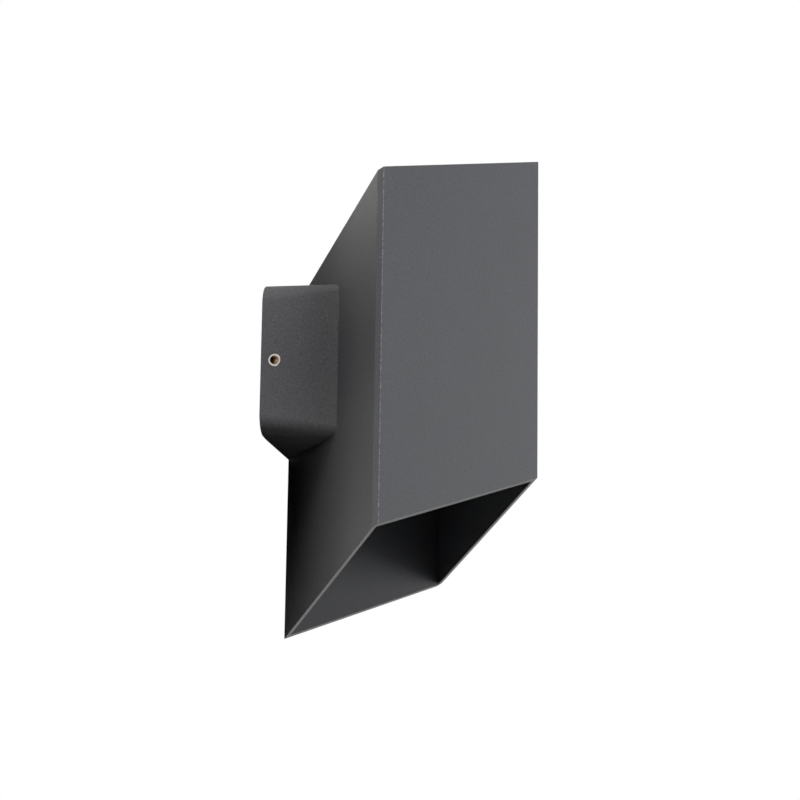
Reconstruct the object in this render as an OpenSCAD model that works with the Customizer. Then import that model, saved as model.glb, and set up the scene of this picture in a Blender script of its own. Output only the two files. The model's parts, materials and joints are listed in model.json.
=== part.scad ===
// Outdoor wall light: a slant-cut rhombic shade carried by a shallow wall box, lit up and down by two LED units.
// Millimetres. X runs to the right of someone facing the wall, Y into the wall, Z up.
// The origin is on the wall, at the middle of the wall box.

/* [Shade] */
// Width across the two blunt side corners
shade_w = 200; // [190:1:230]
// Depth from the wall corner to the front corner
shade_d = 100; // [95:1:115]
// Thickness of the shade's wall
shade_t = 2.3; // [1.8:0.1:3]
// Width of the flat on each side corner
blunt_w = 2.2; // [1:0.1:4]
// Outer radius of the wall corner and the front corner
corner_r = 1.5; // [0.5:0.1:3]
// Height of the side corners above the middle of the wall box
shade_rise = 61.3; // [60:0.1:90]
// Depth of the side corners below the middle of the wall box
shade_drop = 68.8; // [60:0.1:100]
// Slope of the upper end, in degrees from level
upper_cut = 31.7; // [20:0.1:32]
// Slope of the lower end, in degrees from level
lower_cut = 32.6; // [20:0.1:36]

/* [Wall box] */
// Width of the wall box at the wall
box_w = 123.8; // [118:0.1:135]
// Height of the wall box
box_h = 58; // [56:0.5:60]
// Lean of the wall box's sides towards the shade, in degrees
box_draft = 5; // [1:0.1:6]
// Radius of the wall box's corners at the wall
box_r = 8; // [5:0.5:12]
// Radius of the wall box's corners where its sides meet the shade
box_front_r = 3.5; // [2:0.1:5]
// Thickness of the wall box's sides
box_t = 3.5; // [3:0.1:4]
// Thickness of the wall box's floor, which lies on the shade
floor_t = 2.5; // [2:0.1:3]
// Distance from the wall-box screws to the window through the shade's wall corner
window_inset = 5.5; // [5.2:0.1:6.5]
// Height of the window through the shade's wall corner
window_h = 40; // [39:1:41]
// Thickness of the flat bridge in the window
bridge_t = 3; // [2:0.1:4]
// Room round the bridge in the window
bridge_gap = 0.3; // [0.1:0.1:0.6]
// Width of the seal inside the wall box's rim
seal_w = 1.5; // [1:0.1:1.6]
// Depth of the seal from the wall
seal_d = 2; // [1.5:0.1:2.2]

/* [Grub screws] */
// Thread diameter of the grub screws
grub_d = 5; // [4:0.5:6]
// Length of the grub screws
grub_l = 5; // [4.5:0.1:5.2]
// Width across flats of the key socket
grub_key = 2.5; // [2:0.5:3]
// Depth of the key socket
grub_key_depth = 2.4; // [2:0.1:3]
// Chamfer of the outer end and of the key socket's mouth
grub_chamfer = 0.2; // [0.1:0.05:0.3]
// Distance from the wall to the screws' axis
grub_out = 5.2; // [4.5:0.1:7]
// Drop of the screws below the middle of the wall box
grub_drop = 1; // [0:0.1:3]
// Radial play of the screws in the wall box
grub_play = 0.05; // [0.03:0.01:0.1]
// Gap between the screws' tips and the bracket, before they are tightened
grub_tip_gap = 0.2; // [0.1:0.1:0.4]

/* [Wall bracket] */
// Thickness of the bracket's sheet
bracket_t = 2; // [1.5:0.1:2.5]
// Height of the bracket
bracket_h = 36; // [30:1:37]
// Room between the bracket's flanges and the wall box
bracket_gap = 2; // [1.8:0.1:2.4]
// Depth of the bracket's flanges from the wall
flange_d = 10; // [9:0.5:12]
// Outer radius of the bracket's bends
bend_r = 3; // [2.6:0.1:4]
// Distance between the two wall-screw slots
slot_spacing = 54; // [48:1:58]
// Width of the wall-screw slots
slot_w = 5; // [4:0.1:6]
// Length of the wall-screw slots
slot_l = 12; // [10:0.5:14]
// Bore of the cable bush
cable_d = 9; // [7:0.5:10]
// Wall of the cable bush
bush_t = 1.5; // [1:0.1:2]
// Length of the cable bush
bush_l = 4.5; // [4:0.1:5]
// Reach of the cable bush's collar past its body
bush_collar = 1.5; // [1:0.1:2]
// Thickness of the cable bush's collar
bush_collar_t = 1.5; // [1:0.1:2]
// Width of the bracket's earth tab
tab_w = 9; // [8.5:0.1:9.5]
// Depth of the bracket's earth tab from the wall
tab_d = 12; // [11:0.5:13]
// Distance from the bracket's flange to the earth tab's axis
tab_inset = 9.2; // [8.7:0.1:9.4]
// Distance from the wall to the earth screw's axis
tab_screw_out = 6.8; // [6.6:0.1:7.2]

/* [LED units] */
// Height of each heat sink's inner flange face above the middle
sink_z = 21; // [20.6:0.1:21.4]
// Thickness of the heat sink's flange
sink_t = 2; // [1.5:0.1:2.2]
// Room between the heat sink and the shade
sink_gap = 0.4; // [0.2:0.1:0.6]
// Outer diameter of the heat sink's cup
cup_d = 56; // [52:0.5:58]
// Wall of the heat sink's cup
cup_t = 2.5; // [2:0.1:3]
// Height of the cup's floor above the middle
cup_z = 8; // [7:0.1:9]
// Thickness of the cup's floor
cup_floor_t = 2; // [1.5:0.1:2.5]
// Height of the cooling fins
fin_h = 6.5; // [4:0.1:6.8]
// Thickness of the cooling fins
fin_t = 2; // [1.5:0.1:2.5]
// Distance between cooling fins
fin_pitch = 8; // [7:0.1:9]
// Diameter of the LED board
board_d = 46; // [42:0.5:46]
// Thickness of the LED board
board_t = 1.6; // [1:0.1:2]
// Diameter of the LED emitter
led_d = 13; // [9:0.5:14]
// Height of the LED emitter
led_t = 1; // [0.8:0.1:1.4]
// Diameter of the reflector's mouth
reflector_d = 46; // [42:0.5:48]
// Wall of the reflector
reflector_t = 1; // [0.8:0.1:1.4]
// Thickness of the glass
glass_t = 3; // [2.5:0.1:3.2]
// Thickness of each gasket lip
lip_t = 1; // [0.8:0.1:1.2]
// Width of the gasket from the shade to its inner edge
gasket_w = 5; // [4:0.1:6]
// Depth of the gasket's groove round the glass
groove_w = 3; // [2:0.1:3.4]
// Length of the gasket across the side corners
gasket_l = 150; // [140:1:152]
// Thickness of the bezel
bezel_t = 1.5; // [1.2:0.1:1.6]
// Width of the bezel from the shade to its opening
bezel_w = 7; // [6:0.1:9]
// Distance between the bezel's two screws
bezel_screw_spacing = 164; // [160:1:166]

/* [Fasteners] */
// Thread diameter of the screws that hold the wall box
box_screw_d = 4; // [3.5:0.1:4.2]
// Distance from the bracket's flange to the wall-box screws, across
box_screw_inset = 20.9; // [20:0.1:21.5]
// Distance from the middle to the wall-box screws, up and down
box_screw_z = 15.5; // [15:0.1:16]
// Length of the wall-box screws' thread
box_screw_l = 11.5; // [11:0.1:12]
// Diameter of the bosses behind the wall box's floor
boss_d = 9; // [8:0.1:9.5]
// Height of the bosses behind the wall box's floor
boss_h = 5; // [4.5:0.1:6]
// Width of the heat sinks' lugs
lug_w = 10; // [9.5:0.1:10.5]
// Thickness of the heat sinks' lugs
lug_t = 3; // [2:0.1:3.2]
// Thread diameter of the small screws
small_screw_d = 3; // [2.5:0.1:3.2]
// Thread diameter of the earth screws
earth_screw_d = 4; // [3.5:0.1:4.2]
// Head diameter of a screw, as a share of its thread diameter
head_d_share = 1.9; // [1.8:0.05:2]
// Head height of a screw, as a share of its thread diameter
head_h_share = 0.6; // [0.5:0.05:0.7]
// Radial play of a screw in its threaded hole
thread_play = 0.05; // [0.03:0.01:0.1]
// Radial play of a screw in its clearance hole
screw_play = 0.2; // [0.1:0.05:0.3]
// Play between a clamped piece and its seat
seat_play = 0.05; // [0.02:0.01:0.1]

/* [Electrical gear] */
// Length of the LED driver
driver_l = 40; // [36:1:42]
// Width of the LED driver
driver_w = 22; // [18:1:23]
// Height of the LED driver
driver_h = 21; // [18:1:24]
// Radius of the LED driver's upright corners
driver_r = 2; // [1:0.5:4]
// Thickness of the pad under the LED driver
pad_t = 1; // [0.5:0.1:1.5]
// Distance from the middle to the LED driver's near end
driver_x = 32; // [31:0.5:33]
// Length of the terminal block
terminal_l = 21; // [20:0.5:21.5]
// Width of the terminal block
terminal_w = 12; // [11:0.5:12.5]
// Depth of the terminal block
terminal_d = 10; // [9:0.5:11]
// Room between the terminal block and the bracket's flange
terminal_gap = 1.4; // [0.8:0.1:2]
// Height of the terminal block's foot on the wall box's floor
terminal_foot = 1; // [0.5:0.1:2]
// Pitch of the terminals
pole_pitch = 6.6; // [6:0.1:6.8]
// Diameter of the terminal screws
pole_screw_d = 3.6; // [3:0.1:4]
// Diameter of an insulated lead
lead_d = 2.2; // [1.8:0.1:2.4]
// Distance between leads that run side by side
lead_pitch = 2.6; // [2.5:0.1:2.8]
// Distance from the middle to the lead holes of the heat sinks
lead_hole_x = 10; // [9:0.5:11]
// Radius of the leads' bends
lead_bend = 3; // [2:0.5:4]
// Bore of the grommet in the bridge
grommet_d = 9; // [8.4:0.1:10]
// Wall of the grommet
grommet_t = 1.2; // [1:0.1:1.6]
// Distance from the middle to the grommet, across
grommet_x = 15; // [14:0.5:15.5]
// Drop of the leads below the middle of the wall box
lead_drop = 8; // [7:0.5:9]
// Distance from the middle to the heat sinks' earth boss
earth_x = 45; // [43:0.5:46]

/* [Hidden] */
$fn = 64;

// Overrun of every cut past the face that it opens
over = 1;
// Thickness of the slices that a tapered body is spanned between
slice_t = 0.01;

// Colours
anthracite = "#4b4d50";
zinc = "#b9bcc0";
stainless = "#c9cbcf";
brass = "#c9a552";
black_rubber = "#1d1d1f";
cast_grey = "#8f9296";
clear = "#dfe9ea66";

// The shade's rhombus as if its side corners were sharp
half_d = shade_d / 2;
half_w = shade_w / 2 / (1 - blunt_w / shade_d);
face_l = norm([half_w, half_d]);
face_a = atan(half_d / half_w);
face_slope = half_d / half_w;

// Scale of the rhombus whose faces lie this far inside the shade's outer faces
function inset_share(inset) = 1 - inset * face_l / (half_w * half_d);

// Height of the two slanted ends at a distance y from the wall
function upper_z(y) = shade_rise - tan(upper_cut) * (y + half_d);
function lower_z(y) = -shade_drop - tan(lower_cut) * (y + half_d);

// Depth of the shade's rear faces, and of a face set in by this much, at a distance x from the middle
function rear_y(x, inset = 0) = -face_slope * abs(x) - inset / cos(face_a);

shade_top = upper_z(-shade_d);
shade_bottom = lower_z(0);

// Bracket and grub screws
flange_x = box_w / 2 - box_t - bracket_gap;
tab_x = flange_x - tab_inset;
grub_tip_x = flange_x + grub_tip_gap;
hex_corner_share = 1 / cos(30);

// Wall box, whose sides meet the shade at a depth of box_d
box_d = face_slope * box_w / 2 / (1 + face_slope * tan(box_draft));
box_screw_x = flange_x - box_screw_inset;
window_w = 2 * (box_screw_x - window_inset);
bridge_half = window_w / 2 - bridge_gap;
bridge_y = rear_y(bridge_half);
floor_drop = floor_t / cos(face_a);
pocket_y = bridge_y + bridge_t;
pocket_half = (floor_drop - pocket_y) / face_slope;

// Stack of each LED unit, measured from the middle of the wall box
board_z = cup_z + cup_floor_t;
led_z = board_z + board_t;
gasket_z = sink_z + sink_t;
glass_z = gasket_z + lip_t;
bezel_z = glass_z + glass_t + lip_t;
cup_in_d = cup_d - 2 * cup_t;
board_screw_x = (board_d + led_d + reflector_t) / 4 + reflector_t;

// Lugs and their screws lie square to the shade's rear faces
lug_inset = shade_t + seat_play + lug_t;
tapped_l = floor_t + boss_h;

// Electrical gear
driver_z = -sink_z + pad_t;
terminal_x = flange_x - bracket_t - terminal_gap - terminal_w;
terminal_mid = terminal_x + terminal_w / 2;
terminal_out = -rear_y(terminal_x) - floor_drop - terminal_foot - terminal_d;
earth_boss_d = 2.4 * earth_screw_d;
earth_boss_h = 1.4 * earth_screw_d;
earth_tag_t = 0.3 * earth_screw_d;
earth_tag_l = 0.8 * earth_boss_d;
earth_z = -sink_z + earth_boss_h;

// A slot of overall length l and width w with round ends, along X
module oblong(l, w) {
    square([l - w, w], center = true);
    for (end = [-1, 1])
        translate([end * (l - w) / 2, 0])
            circle(d = w);
}

module rounded_square(w, h, r) {
    square([w - 2 * r, h], center = true);
    square([w, h - 2 * r], center = true);
    for (x = [-1, 1], y = [-1, 1])
        translate([x * (w / 2 - r), y * (h / 2 - r)])
            circle(r);
}

// The rhombus set in from the shade's outer faces, its side corners cut off at this half length
module rhomb(inset, half_l = half_w) {
    share = inset_share(inset);
    translate([0, -half_d])
        intersection() {
            polygon([[half_w * share, 0], [0, half_d * share], [-half_w * share, 0], [0, -half_d * share]]);
            square([2 * half_l, shade_d], center = true);
        }
}

// The shade's outer outline, with blunt side corners and rounded wall and front corners
module shade_outline() {
    run = corner_r * tan(face_a);
    edge_x = run * cos(face_a);
    edge_y = half_d - run * sin(face_a);
    translate([0, -half_d]) {
        intersection() {
            polygon([[half_w, 0], [edge_x, edge_y], [-edge_x, edge_y],
                     [-half_w, 0], [-edge_x, -edge_y], [edge_x, -edge_y]]);
            square([shade_w, shade_d], center = true);
        }
        for (side = [-1, 1])
            translate([0, side * (half_d - corner_r / cos(face_a))])
                circle(corner_r);
    }
}

// A thin slice of the wall box's tapered body, set in from its outer faces, with its corner radius in front
module box_slice(depth, inset, front_r) {
    rear_r = box_r - inset;
    translate([0, -depth, 0])
        rotate([90, 0, 0])
            linear_extrude(slice_t)
                rounded_square(box_w - 2 * inset - 2 * depth * tan(box_draft), box_h - 2 * inset,
                               rear_r + (front_r - rear_r) * depth / box_d);
}

// The tapered body between two depths, with a slice past each end
module box_body(from, to, inset, front_r) {
    hull() {
        translate([0, slice_t, 0])
            box_slice(from, inset, front_r);
        box_slice(to, inset, front_r);
    }
}

// The room inside the wall box's sides
module box_room() {
    box_body(-over, box_d, box_t, box_r - box_t);
}

// Puts children on a rear face of the shade, with Z out of the face towards the wall
module on_rear_face(x, z) {
    side = x < 0 ? -1 : 1;
    translate([x, rear_y(x), z])
        rotate([-90, 0, -side * face_a])
            children();
}

module at_box_screws() {
    for (x = [-1, 1], z = [-1, 1])
        on_rear_face(x * box_screw_x, z * box_screw_z)
            children();
}

// Turns a part made for the upper end round to the lower end
module lower_end() {
    rotate([0, 180, 0])
        children();
}

// A pan-head screw whose head sits on Z = 0 and whose thread points down
module pan_screw(d, l) {
    head_d = d * head_d_share;
    head_h = d * head_h_share;
    difference() {
        union() {
            cylinder(d1 = head_d, d2 = head_d * 0.8, h = head_h);
            translate([0, 0, -l])
                cylinder(d = d, h = l + head_h / 2);
        }
        for (turn = [0, 90])
            rotate([0, 0, turn])
                translate([-head_d * 0.3, -d * 0.1, head_h / 2])
                    cube([head_d * 0.6, d * 0.2, head_h]);
    }
}

function unit(v) = v / norm(v);

// A route with each of its inner corners rounded
function bent(route, steps = 4) = [
    route[0],
    for (i = [1 : len(route) - 2], j = [0 : steps])
        let (back = unit(route[i - 1] - route[i]), on = unit(route[i + 1] - route[i]), t = j / steps)
            route[i] + lead_bend * ((1 - t) * (1 - t) * back + t * t * on),
    route[len(route) - 1]
];

// One vector square to each direction in turn, carried along without twisting
function carried(directions, v, i = 0) =
    i == len(directions) ? [] :
    let (square = unit(v - (v * directions[i]) * directions[i]))
        concat([square], carried(directions, square, i + 1));

// A round lead that is swept along a route
module lead(route) {
    sides = 8;
    path = bent(route);
    last = len(path) - 1;
    directions = [for (i = [0 : last]) unit(path[min(i + 1, last)] - path[max(i - 1, 0)])];
    sideways = carried(directions, abs(directions[0].z) > 0.9 ? [1, 0, 0] : [0, 0, 1]);
    points = [for (i = [0 : last], k = [0 : sides - 1])
        let (turn = 360 * k / sides)
            path[i] + lead_d / 2 * (cos(turn) * sideways[i] + sin(turn) * cross(directions[i], sideways[i]))];
    walls = [for (i = [0 : last - 1], k = [0 : sides - 1])
        let (next = (k + 1) % sides, low = i * sides, high = low + sides)
            each [[low + k, high + k, high + next], [low + k, high + next, low + next]]];
    ends = [[for (k = [0 : sides - 1]) k], [for (k = [sides - 1 : -1 : 0]) last * sides + k]];
    polyhedron(points, concat(walls, ends));
}

module shade() {
    color(anthracite)
        difference() {
            intersection() {
                translate([0, 0, shade_bottom])
                    linear_extrude(shade_top - shade_bottom)
                        difference() {
                            shade_outline();
                            rhomb(shade_t);
                        }
                rotate([90, 0, 90])
                    linear_extrude(shade_w + 2 * over, center = true)
                        polygon([for (y = [over, -shade_d - over]) [y, lower_z(y)],
                                 for (y = [-shade_d - over, over]) [y, upper_z(y)]]);
            }
            translate([-window_w / 2, rear_y(window_w / 2, shade_t) - over, -window_h / 2])
                cube([window_w, -rear_y(window_w / 2, shade_t) + 2 * over, window_h]);
            at_box_screws()
                translate([0, 0, -shade_t - over])
                    cylinder(d = box_screw_d + 2 * screw_play, h = shade_t + 2 * over);
        }
}

module wall_box() {
    color(anthracite)
        difference() {
            intersection() {
                box_body(0, box_d + over, 0, box_front_r);
                linear_extrude(box_h + 2 * over, center = true)
                    polygon([[-box_w, 0], [box_w, 0], [box_w, rear_y(box_w)], [bridge_half, bridge_y],
                             [-bridge_half, bridge_y], [-box_w, rear_y(box_w)]]);
            }
            difference() {
                intersection() {
                    box_room();
                    linear_extrude(box_h, center = true)
                        polygon([[-box_w, over], [box_w, over], [box_w, rear_y(box_w) + floor_drop],
                                 [pocket_half, pocket_y], [-pocket_half, pocket_y],
                                 [-box_w, rear_y(box_w) + floor_drop]]);
                }
                at_box_screws()
                    cylinder(d = boss_d, h = tapped_l);
                translate([terminal_x, -box_d, -terminal_l / 2])
                    cube([terminal_w, box_d - terminal_out - terminal_d, terminal_l]);
            }
            for (end = [-1, 1])
                translate([0, 0, end * (window_h / 2 - bridge_gap + box_h / 2)])
                    linear_extrude(box_h, center = true)
                        shade_outline();
            at_box_screws()
                translate([0, 0, -over])
                    cylinder(d = box_screw_d + 2 * thread_play, h = tapped_l + 2 * over);
            translate([0, -grub_out, -grub_drop])
                rotate([0, 90, 0])
                    cylinder(d = grub_d + 2 * grub_play, h = box_w + 2 * over, center = true);
            translate([-grommet_x, 0, -lead_drop])
                rotate([90, 0, 0])
                    cylinder(d = grommet_d + 2 * grommet_t, h = -bridge_y + over);
        }
}

module wall_seal() {
    color(black_rubber)
        difference() {
            intersection() {
                box_room();
                translate([-box_w, -seal_d, -box_h])
                    cube([2 * box_w, seal_d, 2 * box_h]);
            }
            translate([0, over, 0])
                rotate([90, 0, 0])
                    linear_extrude(seal_d + 2 * over)
                        rounded_square(box_w - 2 * box_t - 2 * seal_w, box_h - 2 * box_t - 2 * seal_w,
                                       box_r - box_t - seal_w);
            linear_extrude(box_h, center = true)
                rhomb(-bridge_gap);
        }
}

// A set screw with its tip at the origin and its countersunk key socket facing X
module grub_screw() {
    tip_h = grub_d * 0.2;
    mouth_d = grub_key * hex_corner_share + 2 * grub_chamfer;
    rotate([0, 90, 0])
        difference() {
            union() {
                cylinder(d1 = grub_d * 0.6, d2 = grub_d, h = tip_h);
                translate([0, 0, tip_h])
                    cylinder(d = grub_d, h = grub_l - tip_h - grub_chamfer);
                translate([0, 0, grub_l - grub_chamfer])
                    cylinder(d1 = grub_d, d2 = grub_d - 2 * grub_chamfer, h = grub_chamfer);
            }
            translate([0, 0, grub_l - grub_key_depth])
                cylinder(d = grub_key * hex_corner_share, h = grub_key_depth + over, $fn = 6);
            translate([0, 0, grub_l - mouth_d / 2])
                cylinder(d1 = 0, d2 = mouth_d + 2 * over, h = mouth_d / 2 + over);
        }
}

module grub_screw_right() {
    color(stainless)
        translate([grub_tip_x, -grub_out, -grub_drop])
            grub_screw();
}

module grub_screw_left() {
    color(stainless)
        mirror([1, 0, 0])
            translate([grub_tip_x, -grub_out, -grub_drop])
                grub_screw();
}

// Half of the bracket's plan: the plate, the bend and the flange on the right
module bracket_plan() {
    difference() {
        union() {
            translate([0, -bracket_t])
                square([flange_x - bend_r, bracket_t]);
            translate([flange_x - bend_r, -bend_r])
                circle(bend_r);
            translate([flange_x - bracket_t, -flange_d])
                square([bracket_t, flange_d - bend_r]);
        }
        translate([flange_x - bend_r, -bend_r])
            circle(bend_r - bracket_t);
        translate([flange_x - 2 * bend_r - over, -2 * bend_r - over])
            square([bend_r + over, 2 * bend_r + over - bracket_t]);
        translate([flange_x - 2 * bend_r, -2 * bend_r - over])
            square([2 * bend_r - bracket_t, bend_r + over]);
    }
}

module wall_bracket() {
    color(zinc)
        difference() {
            union() {
                for (side = [0, 1])
                    mirror([side, 0, 0])
                        linear_extrude(bracket_h, center = true)
                            bracket_plan();
                translate([-tab_x - tab_w / 2, -tab_d, bracket_h / 2 - bracket_t])
                    cube([tab_w, tab_d, bracket_t]);
            }
            for (side = [-1, 1])
                translate([side * slot_spacing / 2, over, 0])
                    rotate([90, 0, 0])
                        linear_extrude(bracket_t + 2 * over)
                            oblong(slot_l, slot_w);
            translate([0, over, 0])
                rotate([90, 0, 0])
                    cylinder(d = cable_d + 2 * bush_t, h = bracket_t + 2 * over);
            translate([-tab_x, -tab_screw_out, 0])
                cylinder(d = earth_screw_d + 2 * screw_play, h = bracket_h);
        }
}

module cable_bush() {
    color(black_rubber)
        rotate([90, 0, 0])
            difference() {
                union() {
                    cylinder(d = cable_d + 2 * bush_t, h = bush_l);
                    translate([0, 0, bracket_t])
                        cylinder(d = cable_d + 2 * bush_t + 2 * bush_collar, h = bush_collar_t);
                }
                translate([0, 0, -over])
                    cylinder(d = cable_d, h = bush_l + 2 * over);
            }
}

module bracket_earth_screw() {
    color(brass)
        translate([-tab_x, -tab_screw_out, bracket_h / 2])
            pan_screw(earth_screw_d, bracket_t + earth_screw_d);
}

module bracket_earth_nut() {
    nut_h = earth_screw_d * 0.8;
    color(brass)
        translate([-tab_x, -tab_screw_out, bracket_h / 2 - bracket_t - nut_h])
            difference() {
                cylinder(d = earth_screw_d * 1.75 * hex_corner_share, h = nut_h, $fn = 6);
                translate([0, 0, -over])
                    cylinder(d = earth_screw_d + 2 * thread_play, h = nut_h + 2 * over);
            }
}

module box_screws() {
    color(stainless)
        at_box_screws()
            translate([0, 0, -lug_inset])
                mirror([0, 0, 1])
                    pan_screw(box_screw_d, box_screw_l);
}

// A die-cast heat sink: flange across the shade, cup for the LED board, fins and two lugs
module heat_sink() {
    pad_x = gasket_l / 2 + 2 * seat_play;
    outline_inset = shade_t + sink_gap;
    tip_x = half_w * inset_share(outline_inset) - blunt_w;
    color(cast_grey)
        difference() {
            union() {
                translate([0, 0, sink_z])
                    linear_extrude(sink_t)
                        rhomb(outline_inset, tip_x);
                translate([0, 0, gasket_z])
                    linear_extrude(bezel_z - gasket_z)
                        difference() {
                            rhomb(outline_inset, tip_x);
                            translate([-pad_x, -shade_d])
                                square([2 * pad_x, shade_d]);
                        }
                translate([0, -half_d, cup_z])
                    cylinder(d = cup_d, h = sink_z + sink_t / 2 - cup_z);
                intersection() {
                    translate([0, -half_d, cup_z - fin_h])
                        cylinder(d = cup_d - cup_t, h = fin_h + cup_floor_t / 2);
                    for (i = [-2, -1, 1, 2])
                        translate([-cup_d / 2, -half_d + i * fin_pitch - fin_t / 2, cup_z - fin_h])
                            cube([cup_d, fin_t, fin_h + cup_floor_t]);
                }
                for (side = [-1, 1])
                    intersection() {
                        on_rear_face(side * box_screw_x, 0)
                            translate([-lug_w / 2, -half_d, -lug_inset])
                                cube([lug_w, shade_d, lug_t]);
                        translate([-shade_w / 2, -shade_d, box_screw_z - lug_w / 2])
                            cube([shade_w, shade_d, sink_z - box_screw_z + lug_w / 2 + sink_t / 2]);
                    }
                translate([-earth_x, -half_d, sink_z - earth_boss_h])
                    cylinder(d = earth_boss_d, h = earth_boss_h + sink_t / 2);
            }
            translate([0, -half_d, board_z])
                cylinder(d = cup_in_d, h = sink_z);
            for (side = [-1, 1]) {
                on_rear_face(side * box_screw_x, box_screw_z)
                    translate([0, 0, -lug_inset - over])
                        cylinder(d = box_screw_d + 2 * screw_play, h = lug_t + 2 * over);
                translate([side * bezel_screw_spacing / 2, -half_d, sink_z - over])
                    cylinder(d = small_screw_d + 2 * thread_play, h = bezel_z - sink_z + 2 * over);
                translate([side * board_screw_x, -half_d, cup_z - over])
                    cylinder(d = small_screw_d + 2 * thread_play, h = cup_floor_t + 2 * over);
                translate([side * lead_hole_x, -half_d, cup_z - over])
                    rotate([0, 0, 90])
                        linear_extrude(cup_floor_t + 2 * over)
                            oblong(lead_pitch + lead_d + 2 * screw_play, lead_d + 2 * screw_play);
            }
            translate([-earth_x, -half_d, sink_z - earth_boss_h - over])
                cylinder(d = earth_screw_d + 2 * thread_play, h = earth_boss_h + over);
        }
}

module led_board() {
    color("#e9ebe6")
        difference() {
            translate([0, -half_d, board_z])
                cylinder(d = board_d, h = board_t);
            for (side = [-1, 1])
                translate([side * board_screw_x, -half_d, board_z - over])
                    cylinder(d = small_screw_d + 2 * screw_play, h = board_t + 2 * over);
        }
}

module led() {
    color("#e8c64a")
        translate([0, -half_d, led_z])
            cylinder(d = led_d, h = led_t);
}

module reflector() {
    foot_r = led_d / 2 + reflector_t;
    mouth_r = reflector_d / 2;
    mouth_z = gasket_z;
    color(stainless)
        translate([0, -half_d])
            rotate_extrude()
                polygon([[foot_r, led_z], [foot_r + reflector_t, led_z],
                         [mouth_r, mouth_z - reflector_t], [cup_in_d / 2 - seat_play, mouth_z - reflector_t],
                         [cup_in_d / 2 - seat_play, mouth_z], [mouth_r - reflector_t, mouth_z]]);
}

module gasket() {
    color(black_rubber)
        difference() {
            translate([0, 0, gasket_z])
                linear_extrude(bezel_z - gasket_z)
                    difference() {
                        rhomb(shade_t + seat_play, gasket_l / 2);
                        rhomb(shade_t + gasket_w, gasket_l / 2 - gasket_w);
                    }
            translate([0, 0, glass_z])
                linear_extrude(glass_t)
                    rhomb(shade_t + gasket_w - groove_w, gasket_l / 2 - gasket_w + groove_w);
        }
}

module glass() {
    color(clear)
        translate([0, 0, glass_z])
            linear_extrude(glass_t)
                rhomb(shade_t + gasket_w - groove_w, gasket_l / 2 - gasket_w + groove_w);
}

module bezel() {
    outline_inset = shade_t + sink_gap;
    color(cast_grey)
        difference() {
            translate([0, 0, bezel_z])
                linear_extrude(bezel_t)
                    difference() {
                        rhomb(outline_inset, half_w * inset_share(outline_inset) - blunt_w);
                        rhomb(shade_t + bezel_w, gasket_l / 2 - bezel_w);
                    }
            for (side = [-1, 1])
                translate([side * bezel_screw_spacing / 2, -half_d, bezel_z - over])
                    cylinder(d = small_screw_d + 2 * screw_play, h = bezel_t + 2 * over);
        }
}

// Two bezel screws of one end
module bezel_screw_pair() {
    for (side = [-1, 1])
        translate([side * bezel_screw_spacing / 2, -half_d, bezel_z + bezel_t])
            pan_screw(small_screw_d, bezel_z + bezel_t - sink_z);
}

module bezel_screws() {
    color(stainless) {
        bezel_screw_pair();
        lower_end()
            bezel_screw_pair();
    }
}

// Two board screws of one end
module board_screw_pair() {
    for (side = [-1, 1])
        translate([side * board_screw_x, -half_d, led_z])
            pan_screw(small_screw_d, board_t + cup_floor_t);
}

module board_screws() {
    color(stainless) {
        board_screw_pair();
        lower_end()
            board_screw_pair();
    }
}

module led_driver() {
    color("#f0f0ee")
        translate([-driver_x - driver_l / 2, -half_d, driver_z])
            linear_extrude(driver_h)
                rounded_square(driver_l, driver_w, driver_r);
}

module driver_pad() {
    color("#9fb4c4")
        translate([-driver_x - driver_l / 2, -half_d, -sink_z])
            linear_extrude(pad_t)
                rounded_square(driver_l, driver_w, driver_r);
}

module terminal_block() {
    color("#e6e2d6")
        translate([terminal_x, -terminal_out - terminal_d, -terminal_l / 2])
            difference() {
                cube([terminal_w, terminal_d, terminal_l]);
                for (i = [-1, 0, 1])
                    translate([terminal_w / 2, 0, terminal_l / 2 + i * pole_pitch]) {
                        translate([0, terminal_d / 2, 0])
                            rotate([-90, 0, 0])
                                cylinder(d = pole_screw_d + 2 * screw_play, h = terminal_d);
                        translate([-terminal_w, terminal_d / 2, 0])
                            rotate([0, 90, 0])
                                cylinder(d = lead_d + 2 * screw_play, h = 2 * terminal_w);
                    }
            }
}

module terminal_screws() {
    color(brass)
        for (i = [-1, 0, 1])
            translate([terminal_mid, -terminal_out - terminal_d / 2 + lead_d / 2 + screw_play, i * pole_pitch])
                rotate([-90, 0, 0])
                    difference() {
                        cylinder(d = pole_screw_d, h = terminal_d * 0.25);
                        translate([-pole_screw_d, -pole_screw_d * 0.1, terminal_d * 0.15])
                            cube([2 * pole_screw_d, pole_screw_d * 0.2, terminal_d]);
                    }
}

module lead_grommet() {
    color(black_rubber)
        translate([-grommet_x, bridge_y, -lead_drop])
            rotate([-90, 0, 0])
                difference() {
                    union() {
                        cylinder(d = grommet_d + 2 * grommet_t, h = bridge_t);
                        for (z = [-grommet_t, bridge_t])
                            translate([0, 0, z])
                                cylinder(d = grommet_d + 4 * grommet_t, h = grommet_t);
                    }
                    translate([0, 0, -bridge_t])
                        cylinder(d = grommet_d, h = 3 * bridge_t);
                }
}

// The shared start of the mains leads: pole 0, 1 or 2 of the terminal block to the inside of the bridge
function mains_start(pole) =
    let (z = (pole - 1) * pole_pitch, run_z = -lead_drop + (pole - 1) * lead_pitch,
         y = -terminal_out - terminal_d / 2, run_y = pocket_y + grommet_t + lead_pitch / 2)
    [[terminal_x + terminal_w / 5, y, z],
     [terminal_x - lead_bend - lead_d, y, z],
     [window_w / 2 - lead_bend, run_y, run_z],
     [-grommet_x, run_y, run_z],
     [-grommet_x, bridge_y - 2 * grommet_t - lead_d / 2, run_z]];

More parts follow.
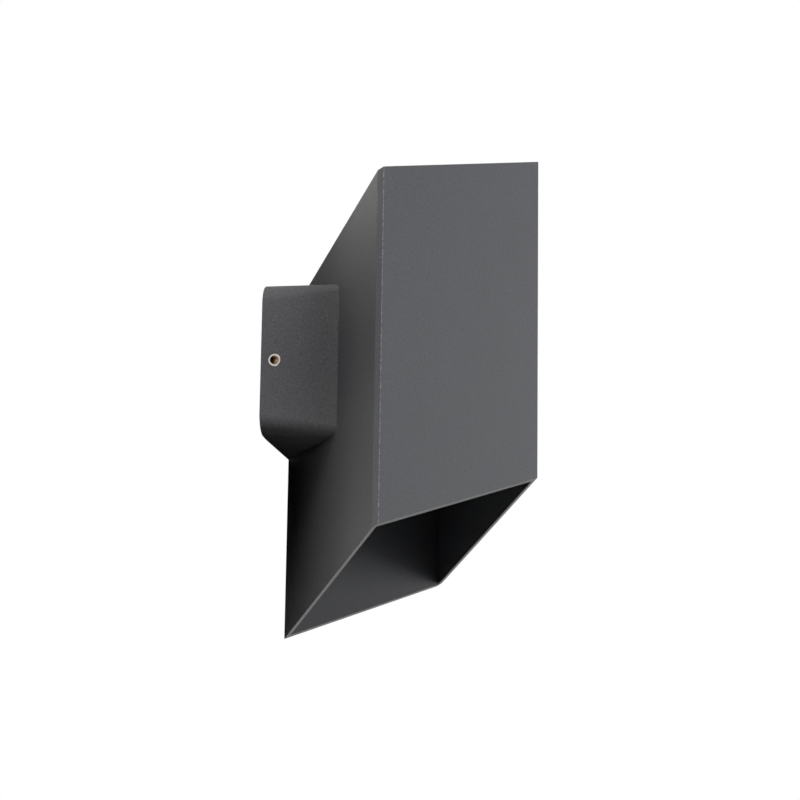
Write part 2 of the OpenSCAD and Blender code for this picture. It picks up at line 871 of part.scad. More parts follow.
// The rest of the live and neutral leads' way, to the back of the LED driver
function driver_end(pole) =
    let (run_z = -lead_drop + (pole - 1) * lead_pitch, driver_back = -half_d + driver_w / 2)
    [[-driver_x - driver_l / 4, driver_back + lead_bend + lead_d, run_z],
     [-driver_x - driver_l / 4, driver_back, run_z]];

module live_lead() {
    color("#7a4f2a")
        lead(concat(mains_start(0), driver_end(0)));
}

module neutral_lead() {
    color("#2f6fb5")
        lead(concat(mains_start(1), driver_end(1)));
}

// Earth lead, from the terminal block behind the cup to the lower heat sink's earth boss
module earth_lead() {
    run_z = -lead_drop + lead_pitch;
    color("#8fae3a")
        lead(concat(mains_start(2),
                    [[window_w / 3, bridge_y - 2 * grommet_t - lead_d, run_z],
                     [earth_x, -half_d + 2 * earth_boss_d, run_z],
                     [earth_x, -half_d + earth_boss_d, earth_z + lead_d / 2 + seat_play],
                     [earth_x, -half_d + earth_tag_l, earth_z + lead_d / 2 + seat_play]]));
}

// Ring tag that clamps the earth lead under the earth screw
module earth_tag() {
    color(zinc)
        translate([earth_x, -half_d, earth_z])
            difference() {
                union() {
                    cylinder(d = earth_boss_d, h = earth_tag_t);
                    translate([-lead_d / 2, 0, 0])
                        cube([lead_d, earth_tag_l, earth_tag_t]);
                }
                translate([0, 0, -over])
                    cylinder(d = earth_screw_d + 2 * screw_play, h = earth_tag_t + 2 * over);
            }
}

module earth_screw() {
    color(brass)
        translate([earth_x, -half_d, earth_z + earth_tag_t])
            pan_screw(earth_screw_d, earth_boss_h);
}

// The LED driver's leads of one pole, one to each LED board
module led_lead_pair(pole) {
    y = -half_d + pole * lead_pitch;
    driver_top = driver_z + driver_h;
    for (end = [-1, 1]) {
        z = driver_top - lead_d - (end < 0 ? lead_pitch : 0);
        lead([[-driver_x, y, z], [-lead_hole_x, y, z], [-lead_hole_x, y, end * board_z]]);
    }
}

module led_plus_leads() {
    color("#b3372f")
        led_lead_pair(0.5);
}

module led_minus_leads() {
    color("#26262a")
        led_lead_pair(-0.5);
}

wall_bracket();
cable_bush();
bracket_earth_screw();
bracket_earth_nut();
shade();
wall_box();
wall_seal();
box_screws();
grub_screw_left();
grub_screw_right();
heat_sink();  // upper_heat_sink
lower_end() heat_sink();  // lower_heat_sink
led_board();  // upper_led_board
lower_end() led_board();  // lower_led_board
led();  // upper_led
lower_end() led();  // lower_led
board_screws();
reflector();  // upper_reflector
lower_end() reflector();  // lower_reflector
gasket();  // upper_gasket
lower_end() gasket();  // lower_gasket
glass();  // upper_glass
lower_end() glass();  // lower_glass
bezel();  // upper_bezel
lower_end() bezel();  // lower_bezel
bezel_screws();
led_driver();
driver_pad();
terminal_block();
terminal_screws();
lead_grommet();
live_lead();
neutral_lead();
earth_lead();
earth_tag();
earth_screw();
led_plus_leads();
led_minus_leads();
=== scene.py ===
"""Looks of the outdoor wall light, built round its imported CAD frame.

Metres, in the frame of the CAD part: X to the right of someone facing the wall, Y into the wall, Z up.
"""

import json
import math

import bmesh
import bpy
from mathutils import Matrix, Vector


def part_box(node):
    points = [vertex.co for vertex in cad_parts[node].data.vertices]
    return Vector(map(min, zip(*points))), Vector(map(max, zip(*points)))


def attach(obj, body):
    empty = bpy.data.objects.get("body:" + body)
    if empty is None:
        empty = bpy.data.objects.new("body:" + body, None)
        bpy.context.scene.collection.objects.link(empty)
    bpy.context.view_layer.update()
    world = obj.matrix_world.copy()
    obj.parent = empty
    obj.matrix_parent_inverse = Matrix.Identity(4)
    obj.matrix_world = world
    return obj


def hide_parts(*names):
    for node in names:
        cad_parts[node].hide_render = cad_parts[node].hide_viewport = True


MM = 0.001

# Camera, from the fit to the photograph's straight edges, with its angles in radians
CAMERA_PLACE = Vector((-0.87985, -0.16244, -0.17064))
CAMERA_TURN = 0.1329
CAMERA_PITCH = 0.1842
CAMERA_ROLL = 0.0143
CAMERA_NEAR = 0.01
LENS_MM = 101.72
SENSOR_MM = 36.0

# Edge radii of the pieces that are shown with softened edges
SHADE_EDGE = 0.1 * MM
BOX_EDGE = 0.5 * MM
SHEET_EDGE = 0.3 * MM
SCREW_EDGE = 0.12 * MM
ROUNDING_STEPS = 3

# Faces meet in a sharp edge above the first angle, and become one face below the second
SMOOTH_ANGLE = math.radians(30)
FLAT_ANGLE = math.radians(0.5)

# Points closer than the first length are joined, and places closer than the second count as the same
WELD = 0.001 * MM
NEAR = 0.05 * MM

# Corner radius of the wall box, by which its rim is found
BOX_CORNER = 8.0 * MM

# Least upward or downward part of the normal of the shade's cut ends
CUT_TILT = 0.3

# Reach of a set screw's key socket from its axis
SOCKET_RADIUS = 1.62 * MM

# Half the width over which a socket goes from its dark painted shade to its amber painted highlight
SOCKET_SHADE_FADE = 1.3 * MM

# Colours of the outer finishes and of the glass, some of them with painted light in them
ANTHRACITE = (0.114, 0.1175, 0.1275)
BOX_GREY = (0.16, 0.16, 0.169)
# Grey of the shade's cut ends: partly a thinner coat on the cut, partly a painted highlight
CUT_GREY_AND_HIGHLIGHT = (0.25, 0.25, 0.245)
SCREW_GREY = (0.5, 0.465, 0.44)
# Socket colours: a dark stain with painted shade, and an amber tone with a painted highlight
SOCKET_STAIN_AND_SHADE = (0.03, 0.023, 0.018, 1.0)
SOCKET_AMBER_HIGHLIGHT = (0.55, 0.33, 0.17, 1.0)
GLASS_TINT = (0.93, 0.98, 0.96, 1.0)

# Sizes of the patterns in the finishes, as noise cells per metre
COAT_GRAIN = 2400.0
COAT_TINT = 1200.0
COAT_PEEL = 700.0
COAT_CLOUD = 45.0
DUST_CELLS = 260.0
DASH_CELLS = 450.0
METAL_CLOUD = 60.0
STAIN_PATCHES = 900.0
CAST_FLOW = 70.0
CAST_PITS = 1500.0
MOULD_TEXTURE = 1200.0
MOULD_CLOUD = 80.0
GLASS_SMEARS = 35.0

# Scale of the wave texture on the earth wire
WIRE_STRIPES = 110.0

# Ranges of a pattern's value over which it goes from one look to the other, the first for most of them
NOISE_SPAN = (0.3, 0.7)
GRAIN_SPAN = (0.33, 0.67)
TINT_SPAN = (0.4, 0.6)
DASH_SPAN = (0.42, 0.6)
METAL_SPAN = (0.35, 0.65)
STAIN_SPAN = (0.5, 1.5)
STRIPE_SPAN = (0.45, 0.55)
SMEAR_SPAN = (0.45, 0.75)

# Darkest and lightest tone of a mottled finish, as factors of its colour
METAL_TONES = (0.88, 1.06)
CAST_TONES = (0.82, 1.08)
MOULD_TONES = (0.92, 1.08)

# Lines in metal, as noise cells per metre along X, Y and Z
DRAWN_UP = (900.0, 900.0, 60.0)
DRAWN_ACROSS = (60.0, 900.0, 900.0)
TURNED = (500.0, 500.0, 500.0)
PRESSED = (300.0, 300.0, 300.0)

# Depths of surface relief
COAT_RELIEF = 0.045 * MM
BOX_RELIEF = 0.055 * MM
PEEL_RELIEF = 0.05 * MM
LINE_RELIEF = 0.02 * MM
POLISHED_RELIEF = 0.005 * MM
PIT_RELIEF = 0.04 * MM
MOULD_RELIEF = 0.02 * MM

# Marks on powder coat, lighter than its colour by these factors
CLOUD_LIGHT = 1.25
DUST_LIGHT = 2.6
DASH_LIGHT = 3.2

# How much of the coat a cloud covers at most, and how wide the lighter dashes on the shade's side corners
# are
CLOUD_SHARE = 0.12
DASH_WIDTH = 0.4 * MM

# Dust: the share of a noise cell where a speck ends, and the random values above which a cell has one
DUST_EDGE = (0.07, 0.045)
DUST_CHOICE = (0.93, 0.94)

# Floor below the light, and the glow that makes it pale to the eye
FLOOR_DROP = 1.6
FLOOR_SIZE = 8.0
FLOOR_COLOUR = (0.2, 0.2, 0.2, 1.0)
FLOOR_LIFT = 0.94

# Wall behind the light, which ends just below it, and the reach of its slot to either side
WALL_GAP = 1.0 * MM
WALL_SIZE = 3.0
WALL_FOOT = 0.12
WALL_SLOT = 0.25
WALL_COLOUR = (0.83, 0.8, 0.73, 1.0)

# Painted shade: a dark patch of the stage wall under the wall box, so that no light bounces onto the box's
# underside; reach to either side, bottom and top
PAINTED_SHADE_PATCH = (0.09, -0.08, -0.02)
PAINTED_SHADE_COLOUR = (0.02, 0.02, 0.02, 1.0)

# Area lights: place, width, power in watts
LIGHTS = {
    "front_right": ((1.4, -1.8, 0.2), 1.0, 12.0),
    "front_low": ((0.8, -2.2, -0.3), 1.0, 2.0),
    "front_left": ((-1.4, -1.4, 1.4), 1.0, 25.5),
    "side_high": ((-1.6, -0.2, 1.5), 1.0, 12.0),
    "rear_right": ((2.0, 0.4, 0.35), 0.4, 25.0),
}
LIGHT_AIM = Vector((0.0, -0.05, 0.0))

# Narrow lights on the upper and the lower part of the shade's left rear face: place, aim, power in watts
NARROW_LIGHTS = {
    "rear_top": ((-0.13, 0.12, 0.16), (-0.09, -0.045, 0.095), 0.038),
    "rear_low": ((-0.2, 0.12, -0.02), (-0.09, -0.045, -0.08), 0.0115),
}
NARROW_WIDTH = 0.04
NARROW_COLOUR = (1.0, 0.96, 0.88)
NARROW_SPREAD = math.radians(45)

# Light from all round
WORLD_STRENGTH = 0.01
WHITE = (1.0, 1.0, 1.0, 1.0)

# Sockets of a Mix node for its two colours and its result
MIX_ONE = 6
MIX_OTHER = 7
MIX_RESULT = 2


def graph(name):
    """A new material with its node tree and its Principled shader."""
    material = bpy.data.materials.new(name)
    material.use_nodes = True
    tree = material.node_tree
    return material, tree, tree.nodes["Principled BSDF"]


def add(tree, kind, inputs=(), **settings):
    """Adds a node, sets its properties, and fills or links the inputs given by name or number."""
    made = tree.nodes.new(kind)
    for key, value in settings.items():
        setattr(made, key, value)
    for key, value in dict(inputs).items():
        if isinstance(value, bpy.types.NodeSocket):
            tree.links.new(value, made.inputs[key])
        else:
            made.inputs[key].default_value = value
    return made


def place(tree, scale=(1.0, 1.0, 1.0)):
    """The piece's own coordinates in metres, stretched by scale."""
    own = add(tree, "ShaderNodeTexCoord").outputs["Object"]
    return add(tree, "ShaderNodeMapping", {"Vector": own, "Scale": scale}).outputs["Vector"]


def apart(tree, vector):
    """The X, Y and Z of a vector."""
    return add(tree, "ShaderNodeSeparateXYZ", {"Vector": vector}).outputs


def noise(tree, at, scale, detail, roughness=0.5):
    """Noise from 0 to 1: scale is its cells per metre, and detail its number of finer layers."""
    inputs = {"Vector": at, "Scale": scale, "Detail": detail, "Roughness": roughness}
    return add(tree, "ShaderNodeTexNoise", inputs).outputs["Fac"]


def ramp(tree, value, low, high, low_out=0.0, high_out=1.0):
    """Maps low..high of a value to low_out..high_out, and clamps it."""
    inputs = {"Value": value, "From Min": low, "From Max": high, "To Min": low_out, "To Max": high_out}
    return add(tree, "ShaderNodeMapRange", inputs, clamp=True).outputs["Result"]


def mix(tree, share, one, other):
    """A colour between one, at share 0, and the other, at share 1."""
    inputs = {0: share, MIX_ONE: one, MIX_OTHER: other}
    return add(tree, "ShaderNodeMix", inputs, data_type="RGBA").outputs[MIX_RESULT]


def bump(tree, height, distance, strength, under=None):
    """A normal tilted by a height map of this depth, on top of the one under it."""
    inputs = {"Height": height, "Distance": distance, "Strength": strength}
    if under is not None:
        inputs["Normal"] = under
    return add(tree, "ShaderNodeBump", inputs).outputs["Normal"]


def calc(tree, operation, *values):
    """The result of one arithmetic operation on one or two values."""
    return add(tree, "ShaderNodeMath", dict(enumerate(values)), operation=operation).outputs[0]


def tone(colour, factor):
    """The colour times a factor, as RGBA."""
    return tuple(part * factor for part in colour) + (1.0,)


def mottled(tree, share, colour, tones):
    """The colour between its darkest tone, at share 0, and its lightest, at share 1."""
    darkest, lightest = tones
    return mix(tree, share, tone(colour, darkest), tone(colour, lightest))


def surface(tree, shader, colour, roughness, normal):
    """Links the colour, roughness and normal of a surface to its shader."""
    for key, value in (("Base Color", colour), ("Roughness", roughness), ("Normal", normal)):
        tree.links.new(value, shader.inputs[key])


def powder_coat(
    name, colour, roughness=0.62, contrast=0.2, hue=0.02, relief=COAT_RELIEF, gloss=0.2, dashed=None
):
    """Fine-textured powder coat: grain, faint tonal change and a few specks of dust.

    contrast and hue say how far the grain's tone and colour vary, and the last argument gives the share of
    lighter dashes.
    """
    material, tree, shader = graph(name)
    at = place(tree)
    grain = noise(tree, at, COAT_GRAIN, detail=2.0, roughness=0.6)
    tint = noise(tree, at, COAT_TINT, detail=2.0)
    cloud = noise(tree, at, COAT_CLOUD, detail=3.0)
    cells = add(tree, "ShaderNodeTexVoronoi", {"Vector": at, "Scale": DUST_CELLS}).outputs
    in_speck = ramp(tree, cells["Distance"], *DUST_EDGE)
    chance = add(tree, "ShaderNodeSeparateColor", {"Color": cells["Color"]}).outputs[0]
    dust = calc(tree, "MULTIPLY", in_speck, ramp(tree, chance, *DUST_CHOICE))
    dark = tone(colour, 1.0 - contrast)
    violet = (dark[0], dark[1] * (1.0 - hue), dark[2] * (1.0 + hue), 1.0)
    hollow = mix(tree, ramp(tree, tint, *TINT_SPAN), dark, violet)
    shown = mix(tree, ramp(tree, grain, *GRAIN_SPAN), hollow, tone(colour, 1.0 + contrast))
    clouded = ramp(tree, cloud, *NOISE_SPAN, 0.0, CLOUD_SHARE)
    shown = mix(tree, clouded, shown, tone(colour, CLOUD_LIGHT))
    shown = mix(tree, dust, shown, tone(colour, DUST_LIGHT))
    if dashed:
        shown = mix(tree, dashed(tree), shown, tone(colour, DASH_LIGHT))
    matt = ramp(tree, grain, *NOISE_SPAN, roughness - 0.06, roughness + 0.08)
    peel = bump(tree, noise(tree, at, COAT_PEEL, detail=2.0), PEEL_RELIEF, strength=0.6)
    surface(tree, shader, shown, matt, bump(tree, grain, relief, strength=0.8, under=peel))
    shader.inputs["Specular IOR Level"].default_value = gloss
    return material


def corner_dashes(tree):
    """1 in dashes along the front edge of the shade's blunt side corners, and 0 elsewhere."""
    spot = apart(tree, place(tree))
    aside = calc(tree, "ABSOLUTE", spot["X"])
    off_line = calc(tree, "ABSOLUTE", calc(tree, "SUBTRACT", spot["Y"], blunt_front))
    at_side = ramp(tree, aside, shade_high.x - DASH_WIDTH, shade_high.x - DASH_WIDTH / 2)
    on_line = calc(tree, "MULTIPLY", at_side, ramp(tree, off_line, DASH_WIDTH / 2, DASH_WIDTH / 4))
    dashes = noise(tree, place(tree, (0.0, 0.0, 1.0)), DASH_CELLS, detail=3.0, roughness=0.7)
    return calc(tree, "MULTIPLY", on_line, ramp(tree, dashes, *DASH_SPAN, low_out=0.1))


def metal(name, colour, roughness, grain=DRAWN_UP, relief=LINE_RELIEF):
    """Drawn, plated or turned metal, with fine lines along the grain."""
    material, tree, shader = graph(name)
    lines = noise(tree, place(tree, grain), 1.0, detail=3.0, roughness=0.6)
    cloud = noise(tree, place(tree), METAL_CLOUD, detail=3.0)
    shown = mottled(tree, ramp(tree, cloud, *METAL_SPAN), colour, METAL_TONES)
    sheen = ramp(tree, lines, *NOISE_SPAN, roughness - 0.08, roughness + 0.1)
    surface(tree, shader, shown, sheen, bump(tree, lines, relief, strength=0.5))
    shader.inputs["Metallic"].default_value = 1.0
    return material


def stained_and_shaded_socket(name, dark, light):
    """The key socket of a set screw: stain, painted shade on its wall side, painted amber highlight at the
    front.
    """
    material, tree, shader = graph(name)
    at = place(tree)
    depth = apart(tree, at)["Y"]
    # Painted shade towards the wall and a painted highlight towards the front, broken up by patchy stain
    forward = ramp(tree, depth, screw_axis.y + SOCKET_SHADE_FADE, screw_axis.y - SOCKET_SHADE_FADE, -0.3, 1.1)
    patchy = calc(tree, "ADD", forward, noise(tree, at, STAIN_PATCHES, detail=2.0))
    tree.links.new(mix(tree, ramp(tree, patchy, *STAIN_SPAN), dark, light), shader.inputs["Base Color"])
    shader.inputs["Metallic"].default_value = 1.0
    shader.inputs["Roughness"].default_value = 0.3
    return material


def casting(name, colour):
    """Bare die casting: flow marks, fine pits and a dull sheen."""
    material, tree, shader = graph(name)
    at = place(tree)
    flow = noise(tree, at, CAST_FLOW, detail=4.0, roughness=0.6)
    pits = noise(tree, at, CAST_PITS, detail=3.0, roughness=0.6)
    shown = mottled(tree, ramp(tree, flow, *NOISE_SPAN), colour, CAST_TONES)
    sheen = ramp(tree, flow, *NOISE_SPAN, 0.38, 0.55)
    surface(tree, shader, shown, sheen, bump(tree, pits, PIT_RELIEF, strength=0.5))
    shader.inputs["Metallic"].default_value = 0.85
    return material


def moulding(name, colour, roughness, texture=MOULD_TEXTURE):
    """Moulded rubber or plastic with a fine surface texture."""
    material, tree, shader = graph(name)
    at = place(tree)
    fine = noise(tree, at, texture, detail=3.0, roughness=0.6)
    cloud = noise(tree, at, MOULD_CLOUD, detail=2.0)
    shown = mottled(tree, ramp(tree, cloud, *NOISE_SPAN), colour, MOULD_TONES)
    matt = ramp(tree, fine, *NOISE_SPAN, roughness - 0.05, roughness + 0.08)
    surface(tree, shader, shown, matt, bump(tree, fine, MOULD_RELIEF, strength=0.5))
    return material


def striped(name, one, other):
    """Two-coloured wire insulation."""
    material, tree, shader = graph(name)
    inputs = {"Vector": place(tree), "Scale": WIRE_STRIPES, "Distortion": 0.4}
    wave = add(tree, "ShaderNodeTexWave", inputs, bands_direction="Z").outputs["Fac"]
    tree.links.new(mix(tree, ramp(tree, wave, *STRIPE_SPAN), one, other), shader.inputs["Base Color"])
    shader.inputs["Roughness"].default_value = 0.45
    return material


def clear_glass(name):
    """Toughened glass, slightly green, with faint smears."""
    material, tree, shader = graph(name)
    smear = noise(tree, place(tree, (1.0, 0.4, 1.0)), GLASS_SMEARS, detail=4.0, roughness=0.6)
    tree.links.new(ramp(tree, smear, *SMEAR_SPAN, 0.01, 0.06), shader.inputs["Roughness"])
    shader.inputs["Base Color"].default_value = GLASS_TINT
    shader.inputs["Transmission Weight"].default_value = 1.0
    shader.inputs["IOR"].default_value = 1.5
    return material


def softened(node, width, weigh=None, finish=None, second=None, takes_second=None):
    """Puts a copy with rounded edges in the place of a CAD node.

    Sharp outer edges are rounded by the width, or by the share of it that weigh(middle) gives there.
    finish takes the place of the slot's own finish, and takes_second(middle, normal) says whether
    the face there gets the second material instead.
    """
    shape = bmesh.new()
    shape.from_mesh(nodes[node].data)
    bmesh.ops.remove_doubles(shape, verts=shape.verts, dist=WELD)
    bmesh.ops.dissolve_limit(shape, angle_limit=FLAT_ANGLE, verts=shape.verts, edges=shape.edges)
    weights = shape.edges.layers.float.new("bevel_weight_edge")
    for edge in shape.edges:
        sharp = edge.calc_face_angle(0.0) > SMOOTH_ANGLE
        edge.smooth = not sharp
        if sharp and edge.is_convex:
            middle = (edge.verts[0].co + edge.verts[1].co) / 2
            edge[weights] = weigh(middle) if weigh else 1.0
    for face in shape.faces:
        face.smooth = True
        if second and takes_second(face.calc_center_median(), face.normal):
            face.material_index = 1
    mesh = bpy.data.meshes.new(node + "_soft")
    shape.to_mesh(mesh)
    shape.free()
    mesh.materials.append(finish or FINISHES[SLOT_OF[node]])
    if second:
        mesh.materials.append(second)
    piece = bpy.data.objects.new(node + "_finish", mesh)
    bpy.context.scene.collection.objects.link(piece)
    rounding = piece.modifiers.new("rounding", "BEVEL")
    rounding.width = width
    rounding.segments = ROUNDING_STEPS
    rounding.limit_method = "WEIGHT"
    rounding.harden_normals = True
    depsgraph = bpy.context.evaluated_depsgraph_get()
    piece.data = bpy.data.meshes.new_from_object(piece.evaluated_get(depsgraph))
    piece.modifiers.clear()
    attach(piece, BODY_OF[node])
    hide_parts(node)


def weigh_box(middle):
    """Rounds the outer edge of the wall box's rim at its sides and corners, and no other edge."""
    beside = max(abs(middle.x) - box_high.x + BOX_CORNER, 0.0)
    above = max(abs(middle.z) - box_high.z + BOX_CORNER, 0.0)
    on_outline = beside > 0 and abs(math.hypot(beside, above) - BOX_CORNER) < NEAR
    return 1.0 if on_outline and abs(middle.y) < NEAR else 0.0


def weigh_shade(middle):
    """Rounds the shade's cut ends and side corners, and leaves its hidden window and holes sharp."""
    return 1.0 if abs(middle.z) > box_high.z or abs(middle.x) > box_high.x else 0.0


def is_cut(middle, normal):
    """Whether a face of the shade is one of its cut ends."""
    return abs(normal.z) > CUT_TILT and abs(middle.z) > box_high.z


def is_socket(middle, normal):
    """Whether a face of a set screw is in its key socket."""
    off_axis = math.hypot(middle.y - screw_axis.y, middle.z - screw_axis.z)
    return off_axis < SOCKET_RADIUS and screw_axis.x < abs(middle.x) < screw_high.x - NEAR


def dress(piece, material):
    """Gives every face of a piece one material."""
    piece.data.materials.clear()
    piece.data.materials.append(material)


def stage_plane(name, size, at, tilt, colour):
    """Adds a matt plane that isn't part of the object, tilted about X, and returns its material."""
    bpy.ops.mesh.primitive_plane_add(size=size, location=at, rotation=(tilt, 0.0, 0.0))
    plane = bpy.context.object
    plane.name = name
    material, tree, shader = graph(name + "_paint")
    shader.inputs["Base Color"].default_value = colour
    shader.inputs["Roughness"].default_value = 1.0
    shader.inputs["Specular IOR Level"].default_value = 0.0
    dress(plane, material)
    return material


def between(tree, value, low, high):
    """1 where a value lies between two bounds, and 0 elsewhere."""
    above = calc(tree, "GREATER_THAN", value, low)
    return calc(tree, "MULTIPLY", above, calc(tree, "LESS_THAN", value, high))


def in_window(tree, reach, low, high):
    """1 within a reach to either side of the middle and between two heights, and 0 elsewhere."""
    spot = apart(tree, add(tree, "ShaderNodeNewGeometry").outputs["Position"])
    beside = between(tree, spot["X"], -reach, reach)
    return calc(tree, "MULTIPLY", beside, between(tree, spot["Z"], low, high))


def look_through(material):
    """Lets camera rays and lamp light pass the stage wall, and every ray in its slot at the wall box."""
    tree = material.node_tree
    path = add(tree, "ShaderNodeLightPath").outputs
    passing = in_window(tree, WALL_SLOT, -box_high.z, box_high.z)
    for ray in ("Is Camera Ray", "Is Shadow Ray"):
        passing = calc(tree, "MAXIMUM", passing, path[ray])
    solid = tree.nodes["Principled BSDF"].outputs[0]
    clear = add(tree, "ShaderNodeBsdfTransparent").outputs[0]
    both = add(tree, "ShaderNodeMixShader", {0: passing, 1: solid, 2: clear})
    tree.links.new(both.outputs[0], tree.nodes["Material Output"].inputs["Surface"])


def paint_shade_patch(material, patch, colour, dark):
    """Paints shade as a dark patch on the stage wall, so that it sends no light on."""
    tree = material.node_tree
    painted = mix(tree, in_window(tree, *patch), colour, dark)
    tree.links.new(painted, tree.nodes["Principled BSDF"].inputs["Base Color"])


def seen_directly(tree):
    """1 for camera, mirror and glass rays, and 0 for the rays that light the object."""
    path = add(tree, "ShaderNodeLightPath").outputs
    seen = path["Is Camera Ray"]
    for ray in ("Is Glossy Ray", "Is Transmission Ray"):
        seen = calc(tree, "MAXIMUM", seen, path[ray])
    return seen


def brightened(material, strength):
    """Makes a surface paler to the eye, while it lights the object as before and still shows shadows."""
    tree = material.node_tree
    shown = calc(tree, "MULTIPLY", seen_directly(tree), strength)
    glow = add(tree, "ShaderNodeEmission", {"Strength": shown}).outputs[0]
    both = add(tree, "ShaderNodeAddShader", {0: tree.nodes["Principled BSDF"].outputs[0], 1: glow})
    tree.links.new(both.outputs[0], tree.nodes["Material Output"].inputs["Surface"])


def area_light(name, at, width, power, aim=LIGHT_AIM, spread=math.pi, colour=WHITE[:3]):
    """A round soft light, which the camera doesn't see."""
    data = bpy.data.lights.new(name, "AREA")
    data.shape = "DISK"
    data.size = width
    data.energy = power
    data.spread = spread
    data.color = colour
    lamp = bpy.data.objects.new(name, data)
    bpy.context.scene.collection.objects.link(lamp)
    lamp.location = at
    lamp.rotation_euler = (aim - Vector(at)).to_track_quat("-Z", "Y").to_euler()
    lamp.visible_camera = False


# The frame, and the places that the looks take from it
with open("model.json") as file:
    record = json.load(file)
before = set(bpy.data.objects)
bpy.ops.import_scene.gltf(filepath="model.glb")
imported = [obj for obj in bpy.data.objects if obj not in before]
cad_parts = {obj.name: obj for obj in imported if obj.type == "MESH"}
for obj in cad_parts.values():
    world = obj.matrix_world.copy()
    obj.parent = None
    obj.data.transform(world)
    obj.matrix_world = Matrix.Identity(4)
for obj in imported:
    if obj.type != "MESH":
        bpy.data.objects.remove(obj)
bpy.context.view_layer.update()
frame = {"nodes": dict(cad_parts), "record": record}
nodes = frame["nodes"]
box_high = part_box("wall_box")[1]
shade_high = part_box("shade")[1]
shade_points = [point.co for point in nodes["shade"].data.vertices]
blunt_front = min(point.y for point in shade_points if point.x > shade_high.x - NEAR)
screw_low, screw_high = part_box("grub_screw_right")
screw_axis = (screw_low + screw_high) / 2

# Finishes
coat = powder_coat("anthracite_coat", ANTHRACITE, contrast=0.3, dashed=corner_dashes)
box_coat = powder_coat("box_coat", BOX_GREY, contrast=0.33, hue=0.04, relief=BOX_RELIEF)
# Lighter coat on the shade's cut ends, partly thin coat and partly a painted highlight
cut_coat_and_highlight = powder_coat("cut_coat_and_highlight", CUT_GREY_AND_HIGHLIGHT, roughness=0.5, contrast=0.08, gloss=0.3)
screw_steel = metal("screw_steel", SCREW_GREY, roughness=0.3, grain=TURNED)
# Set screws' sockets: patchy stain with painted shade and a painted highlight
socket_stain_and_painted_light = stained_and_shaded_socket("socket_stain_and_painted_light", SOCKET_STAIN_AND_SHADE, SOCKET_AMBER_HIGHLIGHT)
FINISHES = {
    "anthracite_coat": coat,
    "bezel_coat": powder_coat("bezel_coat", (0.03, 0.031, 0.033), roughness=0.5),
    "zinc_plated_steel": metal("zinc_plated_steel", (0.55, 0.57, 0.6), roughness=0.38, grain=DRAWN_ACROSS),
    "tinned_copper": metal("tinned_copper", (0.62, 0.62, 0.6), roughness=0.35),
    "stainless_steel": metal("stainless_steel", (0.62, 0.61, 0.6), roughness=0.3),
    "brass": metal("brass", (0.62, 0.44, 0.17), roughness=0.3),
    "black_rubber": moulding("black_rubber", (0.02, 0.02, 0.022), roughness=0.7),
    "cast_aluminium": casting("cast_aluminium", (0.45, 0.46, 0.47)),
    "circuit_board": moulding("circuit_board", (0.8, 0.81, 0.78), roughness=0.35, texture=300.0),
    "phosphor": moulding("phosphor", (0.8, 0.6, 0.1), roughness=0.4, texture=2500.0),
    "bright_aluminium": metal(
        "bright_aluminium", (0.85, 0.85, 0.86), roughness=0.16, grain=PRESSED, relief=POLISHED_RELIEF
    ),
    "clear_glass": clear_glass("clear_glass"),
    "driver_case": moulding("driver_case", (0.75, 0.75, 0.73), roughness=0.42, texture=900.0),
    "thermal_pad": moulding("thermal_pad", (0.33, 0.42, 0.5), roughness=0.6),
    "terminal_plastic": moulding("terminal_plastic", (0.74, 0.7, 0.6), roughness=0.4, texture=900.0),
    "live_insulation": moulding("live_insulation", (0.19, 0.08, 0.03), roughness=0.45),
    "neutral_insulation": moulding("neutral_insulation", (0.03, 0.14, 0.42), roughness=0.45),
    "earth_insulation": striped("earth_insulation", (0.05, 0.3, 0.05, 1.0), (0.75, 0.65, 0.05, 1.0)),
    "red_insulation": moulding("red_insulation", (0.42, 0.03, 0.02), roughness=0.45),
    "black_insulation": moulding("black_insulation", (0.02, 0.02, 0.02), roughness=0.45),
}
SLOT_OF = {row["node"]: row["material_slot"] for row in frame["record"]["subparts"]}
BODIES = frame["record"]["behaviour"]["bodies"]
BODY_OF = {node: body for body, members in BODIES.items() for node in members}

for node, slot in SLOT_OF.items():
    dress(nodes[node], FINISHES[slot])

# Pieces with softened edges
# The shade's cut ends take the lighter coat with its painted highlight
softened("shade", SHADE_EDGE, weigh_shade, second=cut_coat_and_highlight, takes_second=is_cut)
softened("wall_box", BOX_EDGE, weigh_box, finish=box_coat)
for node in ("upper_bezel", "lower_bezel", "wall_bracket"):
    softened(node, SHEET_EDGE)
# Set screws with painted shade and a painted highlight in their key sockets
for node in ("grub_screw_left", "grub_screw_right"):
    softened(node, SCREW_EDGE, finish=screw_steel, second=socket_stain_and_painted_light, takes_second=is_socket)

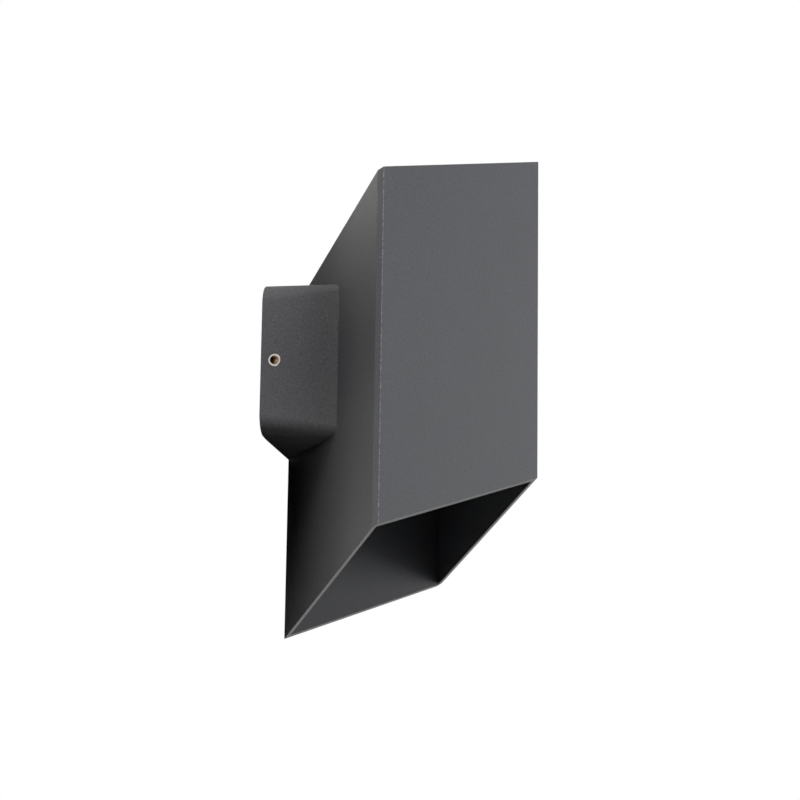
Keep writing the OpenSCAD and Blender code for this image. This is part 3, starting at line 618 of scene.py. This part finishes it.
# Floor and wall
floor_paint = stage_plane("floor", FLOOR_SIZE, (0.0, 0.0, -FLOOR_DROP), 0.0, FLOOR_COLOUR)
brightened(floor_paint, FLOOR_LIFT)
wall_place = (0.0, WALL_GAP, WALL_SIZE / 2 - WALL_FOOT)
wall_paint = stage_plane("wall", WALL_SIZE, wall_place, math.pi / 2, WALL_COLOUR)
look_through(wall_paint)
# Painted shade on the stage wall under the wall box
paint_shade_patch(wall_paint, PAINTED_SHADE_PATCH, WALL_COLOUR, PAINTED_SHADE_COLOUR)

# World: white to the eye, plain ambient light on the object
scene = bpy.context.scene
world = bpy.data.worlds.new("studio")
scene.world = world
world.use_nodes = True
sky = world.node_tree
ambient = sky.nodes["Background"]
ambient.inputs["Color"].default_value = WHITE
ambient.inputs["Strength"].default_value = WORLD_STRENGTH
backdrop = add(sky, "ShaderNodeBackground", {"Color": WHITE, "Strength": 1.0}).outputs[0]
both = add(sky, "ShaderNodeMixShader", {0: seen_directly(sky), 1: ambient.outputs[0], 2: backdrop})
sky.links.new(both.outputs[0], sky.nodes["World Output"].inputs["Surface"])

# Lights
for name, (at, width, power) in LIGHTS.items():
    area_light(name, at, width, power)
for name, (at, aim, power) in NARROW_LIGHTS.items():
    area_light(name, at, NARROW_WIDTH, power, Vector(aim), NARROW_SPREAD, NARROW_COLOUR)

# Camera
forward = Vector((
    math.cos(CAMERA_PITCH) * math.cos(CAMERA_TURN),
    math.cos(CAMERA_PITCH) * math.sin(CAMERA_TURN),
    math.sin(CAMERA_PITCH),
))
level = Vector((math.sin(CAMERA_TURN), -math.cos(CAMERA_TURN), 0.0))
right = math.cos(CAMERA_ROLL) * level + math.sin(CAMERA_ROLL) * level.cross(forward)
up = right.cross(forward)
camera_data = bpy.data.cameras.new("camera")
camera_data.lens = LENS_MM
camera_data.sensor_width = SENSOR_MM
camera_data.sensor_fit = "HORIZONTAL"
camera_data.clip_start = CAMERA_NEAR
camera = bpy.data.objects.new("camera", camera_data)
scene.collection.objects.link(camera)
camera.matrix_world = Matrix.Translation(CAMERA_PLACE) @ Matrix((right, up, -forward)).transposed().to_4x4()
scene.camera = camera

scene.view_settings.view_transform = "Standard"
